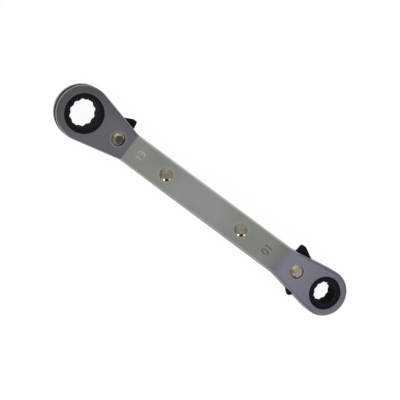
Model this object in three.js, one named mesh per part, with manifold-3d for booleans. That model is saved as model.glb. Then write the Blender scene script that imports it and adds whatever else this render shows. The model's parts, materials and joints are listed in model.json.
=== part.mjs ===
// Offset reversible ratcheting box wrench: two bent side plates riveted over a handle core.
// Each head holds a ratchet gear with a 12-point opening, a reversing pawl and its spring detent.
// Millimetres, +Z up. The wrench lies as it rests on a table, with its big head towards -X.

import * as THREE from 'three';
import { mergeVertices } from 'three/addons/utils/BufferGeometryUtils.js';
import Module from 'manifold-3d';

const wasm = await Module();
wasm.setup();

// Driving dimensions of the handle and its bends
const handleLength = 90; // straight run between the two bends
const handleWidth = 15.4;
const bendAngle = THREE.MathUtils.degToRad(25); // both heads are offset by this much, one up, one down
const bendRadius = 7; // at the middle of the thickness
const handleRivetSpacing = 45.6;

// Driving dimensions of the side plates and the core between them
const plateThickness = 3.9;
const plateGap = 3.6; // room between the plates for gear, pawl and core
const edgeRound = 1.4; // rolled outer edge of a plate
const innerEdgeBreak = 0.35;
const holeEdgeBreak = 0.3;
const coreSetback = 0.3; // the core stays this far inside the plates' edges

// Driving dimensions of the two ratchet gears
const bigOpening = 13; // across flats
const smallOpening = 10;
const openingPoints = 12;
const openingChamfer = 0.7; // lead-in of the opening at both faces
const hubWall = 2.1; // hub outside the points of the opening
const hubRecess = 0.4; // hub faces lie this far under the plates' faces
const hubEdgeBreak = 0.4;
const bigGearShoulder = 1.3; // flange between hub and tooth roots
const smallGearShoulder = 1.1;
const toothCount = 24;
const bigToothDepth = 1.1;
const smallToothDepth = 0.95;
const toothFlank = THREE.MathUtils.degToRad(45); // slope of a tooth's sides to its middle line
const toothRootWidth = 0.4;
const rimLip = 1.75; // plate rim outside the tooth tips

// Driving dimensions of the pawls and their detents
const pawlReach = 9.1; // from the tooth tips to the pawl's pivot
const neckLength = 6.85; // from the pivot to the start of the bend
const bigPawlThrow = THREE.MathUtils.degToRad(24); // to either side of the middle position
const smallPawlThrow = THREE.MathUtils.degToRad(21);
const pawlBackDepth = 3; // flat back of the pawl behind its pivot
const pawlTailRadius = 3.9; // cam that rides on the detent ball
const pawlFrontDepth = 6.2; // front between the two noses
const earReach = 12.5; // a thrown-out thumb ear, out from the pivot
const earTopPlace = 3.1; // back corner of its top, on the handle's side of the pivot
const earTopWidth = 1.1;
const earTopRound = 0.7;
const earBackTurn = THREE.MathUtils.degToRad(9); // where its back flank runs into the corner
const earFrontTurn = THREE.MathUtils.degToRad(116); // where its front flank does
const earFrontLength = 5.9; // of the front flank
const earRootOut = 7.7; // where the back flank grows out of the pawl
const earRootBack = 1.7;
const noseGap = 0.5; // the pawl's shoulder stays this far off the tooth tips
const nosePitches = 1; // tooth pitches from the middle line to the gap that a nose drops into
const detentBallRadius = 1.1;
const springWire = 0.3;
const springRadius = 0.8; // to the middle of the wire
const springCurls = 3;

// Driving dimensions of the rivets and sleeves
const rivetShankRadius = 1.6;
const sleeveWall = 0.5;
const pawlRivetHeadRadius = 3.5;
const pawlRivetTopRadius = 2.1;
const pawlRivetHeadHeight = 1.9;
const handleRivetHeadRadius = 3.25;
const handleRivetTopRadius = 1.2;
const handleRivetHeadHeight = 1.3;
const rivetHeadLand = 0.3; // upright edge at the foot of a head

// Clearances
const runningClearance = 0.3; // between pieces that move on each other
const seatClearance = 0.1; // between pieces that are riveted together
const detentPlay = 0.05; // between the pawl's cam and the ball as the cam passes it

// Fineness of the facets
const roundSides = 40;
const rivetSides = 24;
const domeSteps = 3;
const edgeSteps = 3;
const bendSteps = 6;
const ballSides = 12;
const ballRows = 8;
const curlSteps = 8;
const wireSides = 5;
const camSteps = 2;
const notchSteps = 4;
const earCornerSteps = 3;
const tiltSteps = 40; // halvings in the search for the resting tilt

// Sizes that follow from the driving dimensions
const packThickness = 2 * plateThickness + plateGap;
const bendLength = bendRadius * bendAngle;
const neckStart = handleLength / 2 + bendLength;
const gripStation = handleRivetSpacing / 4; // either end of the bare flat between the handle's rivets
const shankHoleRadius = rivetShankRadius + runningClearance;
const sleeveRadius = shankHoleRadius + sleeveWall;
const movingThickness = plateGap - 2 * runningClearance;
const seatedThickness = plateGap - 2 * seatClearance;
const ballPlace = pawlTailRadius + detentBallRadius + detentPlay;
const notchRadius = detentBallRadius + runningClearance;
const slotHalfWidth = detentBallRadius + runningClearance;

function endSizes(opening, shoulder, toothDepth, pawlThrow) {
  const pointRadius = opening / 2 / Math.cos(Math.PI / 6);
  const hubRadius = pointRadius + hubWall;
  const rootRadius = hubRadius + shoulder;
  const tipRadius = rootRadius + toothDepth;
  const pivotDistance = tipRadius + pawlReach;
  const headRadius = tipRadius + rimLip;
  const gearStation = neckStart + neckLength + pivotDistance;
  const radii = { pointRadius, hubRadius, rootRadius, tipRadius, headRadius };
  return { opening, ...radii, pivotDistance, gearStation, pawlThrow };
}

const bigEnd = endSizes(bigOpening, bigGearShoulder, bigToothDepth, bigPawlThrow);
const smallEnd = endSizes(smallOpening, smallGearShoulder, smallToothDepth, smallPawlThrow);

// Small helpers for points and outlines

function polar(radius, angle) {
  return new THREE.Vector2(radius * Math.cos(angle), radius * Math.sin(angle));
}

function arcPoints(centre, radius, from, to, steps) {
  return Array.from({ length: steps + 1 }, (_, i) => {
    return polar(radius, from + ((to - from) * i) / steps).add(centre);
  });
}

function circlePoints(centre, radius, sides) {
  return arcPoints(centre, radius, 0, 2 * Math.PI, sides).slice(0, sides);
}

function turned(points, angle) {
  return points.map((point) => point.clone().rotateAround(new THREE.Vector2(), angle));
}

function mirrored(points) {
  return points.map((point) => new THREE.Vector2(point.x, -point.y)).reverse();
}

function extruded(outline, holes, thickness) {
  const shape = new THREE.Shape(outline);
  shape.holes = holes.map((hole) => new THREE.Path(hole));
  const geometry = new THREE.ExtrudeGeometry(shape, { depth: thickness, bevelEnabled: false });
  return geometry.translate(0, 0, -thickness / 2);
}

// A turned piece: the profile holds [radius, height] pairs, and its axis is Z
function revolved(profile, sides) {
  const points = profile.map(([radius, height]) => new THREE.Vector2(radius, height));
  return new THREE.LatheGeometry(points, sides).rotateX(Math.PI / 2);
}

function upsideDown(profile) {
  return profile.map(([radius, height]) => [radius, -height]).reverse();
}

function geometryFromTriangles(triangles) {
  return new THREE.BufferGeometry().setFromPoints(triangles);
}

// Cutting and joining of closed meshes

function toSolid(geometry) {
  const bare = geometry.clone();
  bare.deleteAttribute('normal');
  bare.deleteAttribute('uv');
  const merged = mergeVertices(bare);
  const vertProperties = new Float32Array(merged.attributes.position.array);
  const triVerts = new Uint32Array(merged.index.array);
  return new wasm.Manifold(new wasm.Mesh({ numProp: 3, vertProperties, triVerts }));
}

function fromSolid(solid) {
  const mesh = solid.getMesh();
  const geometry = new THREE.BufferGeometry();
  geometry.setAttribute('position', new THREE.BufferAttribute(new Float32Array(mesh.vertProperties), 3));
  geometry.setIndex(new THREE.BufferAttribute(new Uint32Array(mesh.triVerts), 1));
  return geometry;
}

// Bending: a flat piece lies along X, is split at the bend's steps and then folded

const edgeTolerance = 1e-6; // points this close to a bend's edge lie on it

function sideOf(x, station) {
  return Math.abs(x - station) < edgeTolerance ? 0 : Math.sign(x - station);
}

function splitAcross(triangles, station) {
  const pieces = [];
  for (let i = 0; i < triangles.length; i += 3) {
    const corners = triangles.slice(i, i + 3);
    const sides = corners.map(({ x }) => sideOf(x, station));
    const low = [];
    const high = [];
    corners.forEach((corner, k) => {
      const next = (k + 1) % 3;
      if (sides[k] <= 0) low.push(corner);
      if (sides[k] >= 0) high.push(corner);
      if (sides[k] * sides[next] < 0) {
        const [from, to] = sides[k] < 0 ? [corner, corners[next]] : [corners[next], corner];
        const cut = from.clone().lerp(to, (station - from.x) / (to.x - from.x)).setX(station);
        low.push(cut);
        high.push(cut);
      }
    });
    const kept = sides.some((side) => side > 0) ? [high] : [];
    if (kept.length === 0 || sides.some((side) => side < 0)) kept.push(low);
    for (const polygon of kept) {
      for (let k = 2; k < polygon.length; k += 1) pieces.push(polygon[0], polygon[k - 1], polygon[k]);
    }
  }
  return pieces;
}

function bendPoint({ x, y, z }) {
  const end = Math.sign(x);
  const past = Math.max(Math.abs(x) - handleLength / 2, 0);
  const turn = Math.min(past / bendRadius, bendAngle);
  const straight = past - turn * bendRadius;
  const radius = bendRadius + end * z;
  const out = Math.abs(x) - past + radius * Math.sin(turn) + straight * Math.cos(turn);
  const drop = radius * (1 - Math.cos(turn)) + straight * Math.sin(turn);
  return new THREE.Vector3(end * out, y, z - end * drop);
}

function bent(triangles) {
  let pieces = triangles;
  for (let step = 0; step <= bendSteps; step += 1) {
    const station = handleLength / 2 + (bendLength * step) / bendSteps;
    pieces = splitAcross(splitAcross(pieces, station), -station);
  }
  return geometryFromTriangles(pieces.map(bendPoint));
}

function trianglesOf(geometry) {
  const loose = geometry.index ? geometry.toNonIndexed() : geometry;
  const { position } = loose.attributes;
  const corner = (i) => new THREE.Vector3().fromBufferAttribute(position, i);
  return Array.from({ length: position.count }, (_, i) => corner(i));
}

// Side plates: stacked outlines give the rolled outer edge, and round holes take hubs and rivets

// One end of the plate's outline, at +X: straight flanks from the grip that run into the round head
function headOutline(end, inset) {
  const halfWidth = handleWidth / 2 - inset;
  const radius = end.headRadius - inset;
  const run = end.gearStation - neckStart;
  const arcEnd = Math.PI - Math.atan2(halfWidth, run) - Math.acos(radius / Math.hypot(run, halfWidth));
  const centre = new THREE.Vector2(end.gearStation, 0);
  const arc = arcPoints(centre, radius, -arcEnd, arcEnd, roundSides);
  const flank = [neckStart, handleLength / 2, gripStation].map((x) => new THREE.Vector2(x, halfWidth));
  return [...mirrored(flank), ...arc, ...flank];
}

function plateOutline(inset) {
  return [...headOutline(smallEnd, inset), ...turned(headOutline(bigEnd, inset), Math.PI)];
}

function joinRings(triangles, lower, upper) {
  lower.forEach((point, i) => {
    const next = (i + 1) % lower.length;
    triangles.push(point, lower[next], upper[next]);
    triangles.push(point, upper[next], upper[i]);
  });
}

// A plate's face is filled stretch by stretch, so that no triangle spans a bend or leaves the bare grip
function addCap(triangles, rings, facingUp) {
  const steps = [gripStation, handleLength / 2, neckStart, Infinity];
  const edges = [...steps.map((x) => -x).reverse(), ...steps];
  edges.slice(1).forEach((to, k) => {
    const inStretch = ({ x }) => x > edges[k] - edgeTolerance && x < to + edgeTolerance;
    const contour = rings[0].filter(inStretch);
    const holes = rings.slice(1).filter((hole) => hole.every(inStretch));
    const points = [contour, ...holes].flat();
    for (const [a, b, c] of THREE.ShapeUtils.triangulateShape(contour, holes)) {
      const face = facingUp ? [a, b, c] : [c, b, a];
      triangles.push(...face.map((index) => points[index]));
    }
  });
}

function lifted(points, z) {
  return points.map((point) => new THREE.Vector3(point.x, point.y, z));
}

// A gear's hole has broken edges; a rivet's hole is covered by its heads and stays sharp
function holeRings({ centre, radius, sides, edgeBreak }, bottom, top) {
  const ring = (spread, z) => lifted(circlePoints(centre, radius + spread, sides).reverse(), z);
  const walls = [ring(0, bottom + edgeBreak), ring(0, top - edgeBreak)];
  return edgeBreak > 0 ? [ring(edgeBreak, bottom), ...walls, ring(edgeBreak, top)] : walls;
}

function plateHoles() {
  const holes = [];
  for (const [end, side] of [[bigEnd, -1], [smallEnd, 1]]) {
    const gearPlace = new THREE.Vector2(side * end.gearStation, 0);
    const pivotPlace = new THREE.Vector2(side * (neckStart + neckLength), 0);
    const rivetPlace = new THREE.Vector2((side * handleRivetSpacing) / 2, 0);
    const gearHoleRadius = end.hubRadius + runningClearance;
    holes.push({ centre: gearPlace, radius: gearHoleRadius, sides: roundSides, edgeBreak: holeEdgeBreak });
    for (const centre of [pivotPlace, rivetPlace]) {
      holes.push({ centre, radius: shankHoleRadius, sides: rivetSides, edgeBreak: 0 });
    }
  }
  return holes;
}

// The plate is drawn with its outer face up; the back plate is the same piece turned over in thickness
function sidePlate(facing) {
  const bottom = plateGap / 2;
  const top = bottom + plateThickness;
  const edge = [
    [innerEdgeBreak, bottom],
    [0, bottom + innerEdgeBreak],
  ];
  for (let step = 0; step <= edgeSteps; step += 1) {
    const turn = ((Math.PI / 2) * step) / edgeSteps;
    edge.push([edgeRound * (1 - Math.cos(turn)), top - edgeRound * (1 - Math.sin(turn))]);
  }
  const stacks = [edge.map(([inset, z]) => lifted(plateOutline(inset), z))];
  for (const hole of plateHoles()) stacks.push(holeRings(hole, bottom, top));
  const triangles = [];
  for (const rings of stacks) {
    for (let k = 1; k < rings.length; k += 1) joinRings(triangles, rings[k - 1], rings[k]);
  }
  addCap(triangles, stacks.map((rings) => rings[0]), false);
  addCap(triangles, stacks.map((rings) => rings.at(-1)), true);
  if (facing > 0) return bent(triangles);
  const turnedOver = triangles.map((point) => new THREE.Vector3(point.x, point.y, -point.z));
  return bent(turnedOver.reverse());
}

// Handle core: fills the handle between the plates; its shaped ends stop the pawls and hold the detents

function coreEndOutline({ pawlThrow }) {
  const halfWidth = handleWidth / 2 - coreSetback;
  const pivotStation = neckStart + neckLength;
  const stopOffset = pawlBackDepth + runningClearance;
  const stopAt = (y) => pivotStation - (stopOffset + y * Math.sin(pawlThrow)) / Math.cos(pawlThrow);
  const upper = [
    new THREE.Vector2(handleLength / 2, slotHalfWidth),
    new THREE.Vector2(stopAt(slotHalfWidth), slotHalfWidth),
    new THREE.Vector2(stopAt(halfWidth), halfWidth),
  ];
  return [...mirrored(upper), ...upper];
}

function handleCore() {
  const outline = [...coreEndOutline(smallEnd), ...turned(coreEndOutline(bigEnd), Math.PI)];
  const holes = [-1, 1].map((side) => {
    const place = new THREE.Vector2((side * handleRivetSpacing) / 2, 0);
    return circlePoints(place, shankHoleRadius, rivetSides);
  });
  return bent(trianglesOf(extruded(outline, holes, seatedThickness)));
}

// Ratchet gears: a toothed flange between the plates, hubs that run in the plates, a 12-point opening

function toothedOutline(end) {
  const gapHalf = toothRootWidth / 2;
  const gapHalfAtTip = gapHalf + (end.tipRadius - end.rootRadius) * Math.tan(toothFlank);
  const rootTurn = Math.asin(gapHalf / end.rootRadius);
  const tipTurn = Math.asin(gapHalfAtTip / end.tipRadius);
  const pitch = (2 * Math.PI) / toothCount;
  const outline = [];
  for (let tooth = 0; tooth < toothCount; tooth += 1) {
    const gapMiddle = (tooth + nosePitches) * pitch;
    outline.push(polar(end.tipRadius, gapMiddle - tipTurn), polar(end.rootRadius, gapMiddle - rootTurn));
    outline.push(polar(end.rootRadius, gapMiddle + rootTurn), polar(end.tipRadius, gapMiddle + tipTurn));
  }
  return outline;
}

function openingOutline(end) {
  const pitch = (2 * Math.PI) / openingPoints;
  const innerRadius = end.opening / 2 / Math.cos(pitch / 2);
  const outline = [];
  for (let point = 0; point < openingPoints; point += 1) {
    outline.push(polar(end.pointRadius, (point + 0.5) * pitch), polar(innerRadius, (point + 1) * pitch));
  }
  return outline;
}

function ratchetGear(end) {
  const half = packThickness / 2 - hubRecess;
  const past = half + openingChamfer;
  const mouth = end.pointRadius + openingChamfer / 2;
  const flange = toSolid(extruded(toothedOutline(end), [], movingThickness));
  const hub = toSolid(revolved([
    [0, -half],
    [end.hubRadius - hubEdgeBreak, -half],
    [end.hubRadius, -half + hubEdgeBreak],
    [end.hubRadius, half - hubEdgeBreak],
    [end.hubRadius - hubEdgeBreak, half],
    [0, half],
  ], roundSides));
  const opening = toSolid(extruded(openingOutline(end), [], 2 * past));
  const leadIn = [
    [0, half - openingChamfer],
    [mouth - openingChamfer, half - openingChamfer],
    [mouth + openingChamfer, past],
    [0, past],
  ];
  const topMouth = toSolid(revolved(leadIn, roundSides));
  const bottomMouth = toSolid(revolved(upsideDown(leadIn), roundSides));
  const bored = flange.add(hub).subtract(opening);
  return fromSolid(bored.subtract(topMouth).subtract(bottomMouth));
}

// Reversing pawls: two noses and two thumb ears on one rocker, drawn in the middle position

// A nose fits a tooth gap when the pawl is thrown, and is turned back from there to the middle position
function noseOutline(end) {
  const gapMiddle = (nosePitches * 2 * Math.PI) / toothCount;
  const slack = runningClearance / Math.cos(toothFlank);
  const halfAt = (radius) => toothRootWidth / 2 + (radius - end.rootRadius) * Math.tan(toothFlank) - slack;
  const tip = end.rootRadius + slack;
  const foot = end.tipRadius + noseGap;
  const corners = [
    new THREE.Vector2(tip, halfAt(tip)),
    new THREE.Vector2(tip, -halfAt(tip)),
    new THREE.Vector2(foot, -halfAt(foot)),
  ];
  const pivot = new THREE.Vector2(end.pivotDistance, 0);
  const thrown = turned(corners, gapMiddle).map((point) => point.sub(pivot));
  return turned(thrown, -end.pawlThrow);
}

// An ear is drawn thrown out, as the thumb meets it, and turned back from there to the middle position
function earOutline({ pawlThrow }) {
  const back = new THREE.Vector2(earTopPlace, earReach - earTopRound);
  const front = new THREE.Vector2(back.x - earTopWidth, back.y);
  const flankStart = polar(earTopRound, earFrontTurn).add(front);
  const flankEnd = polar(earFrontLength, earFrontTurn + Math.PI / 2).add(flankStart);
  const thrownOut = [
    ...arcPoints(back, earTopRound, earBackTurn, Math.PI / 2, earCornerSteps),
    ...arcPoints(front, earTopRound, Math.PI / 2, earFrontTurn, earCornerSteps),
    flankEnd,
  ];
  return [new THREE.Vector2(earRootBack, earRootOut), ...turned(thrownOut, pawlThrow)];
}

// The tail is a cam round the pivot with a shallow notch for the detent ball at either throw
function tailOutline({ pawlThrow }) {
  const apart = pawlTailRadius ** 2 + ballPlace ** 2 - notchRadius ** 2;
  const notchTurn = Math.acos(apart / (2 * pawlTailRadius * ballPlace));
  const notchCentre = polar(ballPlace, pawlThrow);
  const lip = polar(pawlTailRadius, pawlThrow - notchTurn).sub(notchCentre).angle();
  const farLip = polar(pawlTailRadius, pawlThrow + notchTurn).sub(notchCentre).angle();
  const origin = new THREE.Vector2();
  const tailEnd = Math.acos(pawlBackDepth / pawlTailRadius);
  return [
    ...arcPoints(origin, pawlTailRadius, 0, pawlThrow - notchTurn, camSteps),
    ...arcPoints(notchCentre, notchRadius, lip, farLip, notchSteps).slice(1, -1),
    ...arcPoints(origin, pawlTailRadius, pawlThrow + notchTurn, tailEnd, camSteps),
  ];
}

function pawlOutline(end) {
  const backCorner = new THREE.Vector2(pawlBackDepth, earRootOut - earRootBack);
  const front = new THREE.Vector2(-pawlFrontDepth, 0);
  const half = [...tailOutline(end), backCorner, ...earOutline(end), ...noseOutline(end)];
  return [...half, front, ...mirrored(half.slice(1))];
}

function reversingPawl(end) {
  const bore = circlePoints(new THREE.Vector2(), sleeveRadius + runningClearance, rivetSides);
  return extruded(pawlOutline(end), [bore], movingThickness);
}

// Rivets, sleeves and detents

// A rivet's head is a dome with a flat top: a ball's cap through the head's edge and the rim of its top
function rivet(headRadius, topRadius, headHeight) {
  const seat = packThickness / 2 + seatClearance;
  const edge = seat + rivetHeadLand;
  const top = seat + headHeight;
  const domeMiddle = (topRadius ** 2 + top ** 2 - headRadius ** 2 - edge ** 2) / (2 * (top - edge));
  const centre = new THREE.Vector2(0, domeMiddle);
  const edgeTurn = Math.atan2(edge - domeMiddle, headRadius);
  const topTurn = Math.atan2(top - domeMiddle, topRadius);
  const domeRadius = Math.hypot(headRadius, edge - domeMiddle);
  const dome = arcPoints(centre, domeRadius, edgeTurn, topTurn, domeSteps).map(({ x, y }) => [x, y]);
  const upper = [[rivetShankRadius, seat], [headRadius, seat], ...dome, [0, top]];
  return revolved([...upsideDown(upper), ...upper], rivetSides);
}

function pawlSleeve() {
  const half = seatedThickness / 2;
  const profile = [
    [shankHoleRadius, -half],
    [sleeveRadius, -half],
    [sleeveRadius, half],
    [shankHoleRadius, half],
    [shankHoleRadius, -half],
  ];
  return revolved(profile, rivetSides);
}

// The spring stands between the ball and the end of the core's slot, along X from the pivot
function detentSpring() {
  const start = ballPlace + detentBallRadius + runningClearance;
  const slotEnd = neckLength + bendRadius * Math.sin(bendAngle);
  const slotRise = bendRadius * (1 - Math.cos(bendAngle));
  const outside = springRadius + springWire / 2;
  const stop = slotEnd - (outside - slotRise) * Math.tan(bendAngle) - runningClearance;
  const pitch = (stop - start - 2 * springWire) / springCurls;
  const onCoil = (x, turn) => {
    const place = polar(springRadius, turn);
    return new THREE.Vector3(x, place.x, place.y);
  };
  const path = [onCoil(start, 0)];
  for (let step = 0; step <= springCurls * curlSteps; step += 1) {
    const along = step / curlSteps;
    path.push(onCoil(start + springWire + along * pitch, along * 2 * Math.PI));
  }
  path.push(onCoil(stop, springCurls * 2 * Math.PI));
  reportSelfGap(path);
  return wireAlong(path);
}

function wireAlong(path) {
  const rings = path.map((point, i) => {
    const before = path[Math.max(i - 1, 0)];
    const after = path[Math.min(i + 1, path.length - 1)];
    const along = after.clone().sub(before).normalize();
    const outward = new THREE.Vector3(0, point.y, point.z).normalize();
    const across = along.clone().cross(outward).normalize();
    const square = across.clone().cross(along);
    return circlePoints(new THREE.Vector2(), springWire / 2, wireSides).map(({ x, y }) => {
      return point.clone().addScaledVector(square, x).addScaledVector(across, y);
    });
  });
  const triangles = [];
  for (let k = 1; k < rings.length; k += 1) joinRings(triangles, rings[k - 1], rings[k]);
  for (const [ring, facingOn] of [[rings[0], false], [rings.at(-1), true]]) {
    for (let k = 2; k < wireSides; k += 1) {
      const face = [ring[0], ring[k - 1], ring[k]];
      triangles.push(...(facingOn ? face : face.reverse()));
    }
  }
  return geometryFromTriangles(triangles);
}

function reportSelfGap(path) {
  let least = Infinity;
  path.forEach((point, i) => {
    for (const other of path.slice(i + curlSteps - 1)) {
      least = Math.min(least, point.distanceTo(other) - springWire);
    }
  });
  console.log(`detent spring: least gap between curls ${least.toFixed(2)} mm`);
}

// Finishes

const nickelPlate = { color: 0x85878a, roughness: 0.38, metalness: 0.9 };
const coreSteel = { color: 0x77797b, roughness: 0.5, metalness: 0.9 };
const blackOxide = { color: 0x1b1a1e, roughness: 0.5, metalness: 0.6 };
const rivetSteel = { color: 0xa9a393, roughness: 0.25, metalness: 1 };
const springSteel = { color: 0x8d9095, roughness: 0.3, metalness: 1 };

function piece(name, geometry, finish) {
  const mesh = new THREE.Mesh(geometry, new THREE.MeshStandardMaterial(finish));
  mesh.name = name;
  return mesh;
}

// One head's moving parts, with the gear's centre as origin and X towards the handle
function headGroup(label, end, side, thrown) {
  const head = new THREE.Group();
  const station = new THREE.Vector3(side * end.gearStation, 0, 0);
  head.position.copy(bendPoint(station));
  head.rotation.set(0, bendAngle, side > 0 ? Math.PI : 0, 'YXZ');
  const pivot = new THREE.Group();
  pivot.position.x = end.pivotDistance;
  const pawl = piece(`${label}_reversing_pawl`, reversingPawl(end), blackOxide);
  pawl.rotation.z = thrown * end.pawlThrow;
  const sphere = new THREE.SphereGeometry(detentBallRadius, ballSides, ballRows);
  const ball = piece(`${label}_detent_ball`, sphere, springSteel);
  ball.position.x = ballPlace;
  pivot.add(pawl, ball);
  const pivotRivet = rivet(pawlRivetHeadRadius, pawlRivetTopRadius, pawlRivetHeadHeight);
  pivot.add(piece(`${label}_pawl_rivet`, pivotRivet, rivetSteel));
  pivot.add(piece(`${label}_pawl_sleeve`, pawlSleeve(), springSteel));
  pivot.add(piece(`${label}_detent_spring`, detentSpring(), springSteel));
  head.add(piece(`${label}_ratchet_gear`, ratchetGear(end), blackOxide), pivot);
  return head;
}

function handleRivet(label, side) {
  const geometry = rivet(handleRivetHeadRadius, handleRivetTopRadius, handleRivetHeadHeight);
  const mesh = piece(`${label}_handle_rivet`, geometry, rivetSteel);
  mesh.position.x = (side * handleRivetSpacing) / 2;
  return mesh;
}

// Resting: the tilt at which the small head's tip and the big end of the handle both touch the table

function cornersOf(group) {
  const corners = [];
  group.updateMatrixWorld(true);
  group.traverse((object) => {
    if (!object.isMesh) return;
    for (const corner of trianglesOf(object.geometry)) {
      corners.push(corner.applyMatrix4(object.matrixWorld));
    }
  });
  return corners;
}

function restTilt(corners) {
  const lowest = (side, tilt) => corners.reduce((least, { x, z }) => {
    return side * x > 0 ? Math.min(least, x * Math.sin(tilt) + z * Math.cos(tilt)) : least;
  }, Infinity);
  let [low, high] = [0, bendAngle];
  for (let step = 0; step < tiltSteps; step += 1) {
    const middle = (low + high) / 2;
    if (lowest(1, middle) < lowest(-1, middle)) low = middle;
    else high = middle;
  }
  return low;
}

const wrench = new THREE.Group();
const resting = new THREE.Group();
resting.add(piece('front_side_plate', sidePlate(1), nickelPlate));
resting.add(piece('back_side_plate', sidePlate(-1), nickelPlate));
resting.add(piece('handle_core', handleCore(), coreSteel));
resting.add(handleRivet('big', -1), handleRivet('small', 1));
resting.add(headGroup('big', bigEnd, -1, -1), headGroup('small', smallEnd, 1, 1));
resting.rotation.y = -restTilt(cornersOf(resting));
wrench.add(resting);
const box = new THREE.Box3().setFromObject(wrench, true);
const middle = box.getCenter(new THREE.Vector3());
resting.position.set(-middle.x, -middle.y, -box.min.z);

export default wrench;
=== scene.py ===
# %% [markdown]
# # An offset ratcheting wrench
# The wrench lies on a table: two bent steel plates are riveted over a core, and each head holds a black
# ratchet ring and a rocker with two thumb ears. Its working parts are already there as plain solids.
# This lesson models each part once more, also the small ones inside, with the edges and the finish of the
# real one. Everything is in metres.

# %% The plain solids
import json
from math import acos, asin, atan2, cos, hypot, pi, radians, sin, tan
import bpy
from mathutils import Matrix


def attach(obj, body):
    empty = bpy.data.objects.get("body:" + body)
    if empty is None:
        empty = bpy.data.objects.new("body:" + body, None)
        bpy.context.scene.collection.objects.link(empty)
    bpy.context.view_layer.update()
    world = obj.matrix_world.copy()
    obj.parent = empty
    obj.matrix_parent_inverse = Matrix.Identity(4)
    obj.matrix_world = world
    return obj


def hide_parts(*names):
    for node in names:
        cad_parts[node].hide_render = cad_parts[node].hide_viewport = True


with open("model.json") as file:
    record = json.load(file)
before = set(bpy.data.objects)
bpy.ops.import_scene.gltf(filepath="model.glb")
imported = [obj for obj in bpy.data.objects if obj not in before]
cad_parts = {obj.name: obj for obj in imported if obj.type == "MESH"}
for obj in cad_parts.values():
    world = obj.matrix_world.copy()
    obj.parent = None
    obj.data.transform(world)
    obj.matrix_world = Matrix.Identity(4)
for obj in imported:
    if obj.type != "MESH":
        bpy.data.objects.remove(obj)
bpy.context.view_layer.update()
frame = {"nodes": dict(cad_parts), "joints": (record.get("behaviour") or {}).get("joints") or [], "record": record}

from types import SimpleNamespace

import bmesh
import bpy
from mathutils import Matrix, Vector

MM = 0.001
nodes = frame["nodes"]
bpy.context.scene.view_settings.view_transform = "Standard"

# %% [markdown]
# ## Where things are
# The joints say where each gear and each pawl turns, and the flat faces of the handle say how it lies.
# From these come three kinds of bench: one for the handle, one for each gear and one for each pawl. A piece
# is modelled flat on its bench, round the origin, and is then set in its place in the wrench.

# %% Benches
joints = {joint["name"]: joint for joint in frame["joints"]}
mounts = {mount["name"]: mount for mount in frame["record"]["mounts"]}
front_face = Vector(mounts["handle_front_face"]["pos_m"])
back_face = Vector(mounts["handle_back_face"]["pos_m"])
across = Vector((0, 1, 0))
handle_up = (front_face - back_face).normalized()
head_up = Vector(joints["big_gear_spin"]["axis"])
pack_thickness = (front_face - back_face).length
bend_angle = handle_up.angle(head_up)


def bench(origin, along, up):
    """The matrix that takes a piece from its bench to its place in the wrench."""
    axes = Matrix((along, up.cross(along), up)).transposed()
    return Matrix.Translation(origin) @ axes.to_4x4()


handle_bench = bench((front_face + back_face) / 2, across.cross(handle_up), handle_up)
print(f"laminated pack {pack_thickness / MM:.1f} mm thick, bent by {bend_angle / radians(1):.1f} degrees")

# %% [markdown]
# ## The sizes of the two heads
# Both heads follow one rule: opening, hub wall, shoulder, teeth and rim lie outside each other. So one
# function gives all radii of a head, and the two heads differ only in three sizes.

# %% Head sizes
handle_length = 90 * MM
bend_radius = 7 * MM
bend_start = handle_length / 2
neck_length = 6.85 * MM
neck_start = bend_start + bend_radius * bend_angle
hub_wall = 2.1 * MM
rim_lip = 1.75 * MM


def head_sizes(label, side, opening, shoulder, tooth_depth):
    gear = Vector(joints[f"{label}_gear_spin"]["pos_m"])
    pivot = Vector(joints[f"{label}_pawl_throw"]["pos_m"])
    to_handle = (pivot - gear).normalized()
    points = opening / 2 / cos(pi / 6)
    hub = points + hub_wall
    root = hub + shoulder
    tip = root + tooth_depth
    swing = joints[f"{label}_pawl_throw"]["range_deg"]
    return SimpleNamespace(
        label=label, side=side, opening=opening, points=points, hub=hub, root=root, tip=tip,
        rim=tip + rim_lip, station=neck_start + neck_length + (pivot - gear).length,
        throw=radians(swing[1] - swing[0]) / 2,
        gear_bench=bench(gear, to_handle, head_up), pawl_bench=bench(pivot, to_handle, head_up),
    )


big = head_sizes("big", side=-1, opening=13 * MM, shoulder=1.3 * MM, tooth_depth=1.1 * MM)
small = head_sizes("small", side=1, opening=10 * MM, shoulder=1.1 * MM, tooth_depth=0.95 * MM)
for head in (big, small):
    print(f"{head.label} head: opening {head.opening / MM:.0f} mm, rim {2 * head.rim / MM:.1f} mm across")

# %% [markdown]
# ## The camera
# The picture looks almost straight down from about seventy centimetres with a long lens. The lens is set
# for a square picture, and no shift is needed because the wrench lies in the middle.

# %% Camera
camera_place = Vector((-15.17, -11.57, 728.65)) * MM
camera_turn = [radians(angle) for angle in (0.046, -1.489, 36.698)]
camera_lens = 131.3  # millimetres, on a sensor 36 mm wide

bpy.ops.object.camera_add(location=camera_place, rotation=camera_turn)
camera = bpy.context.object
camera.name = "camera"
camera.data.lens = camera_lens
bpy.context.scene.camera = camera
print(f"camera {camera_place.z:.2f} m above the table")

# %% [markdown]
# ## A pen
# Most parts here are cut from sheet or turned, so they start as an outline. By hand, one vertex is extruded
# from corner to corner, and spun where the outline is round. The pen below does just that: it starts as a
# tiny plane that is merged to one vertex. A closed outline is then pulled up into a solid.

# %% Pen
tiny = 1e-6


def select_only(piece):
    bpy.ops.object.select_all(action="DESELECT")
    piece.select_set(True)
    bpy.context.view_layer.objects.active = piece


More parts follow.
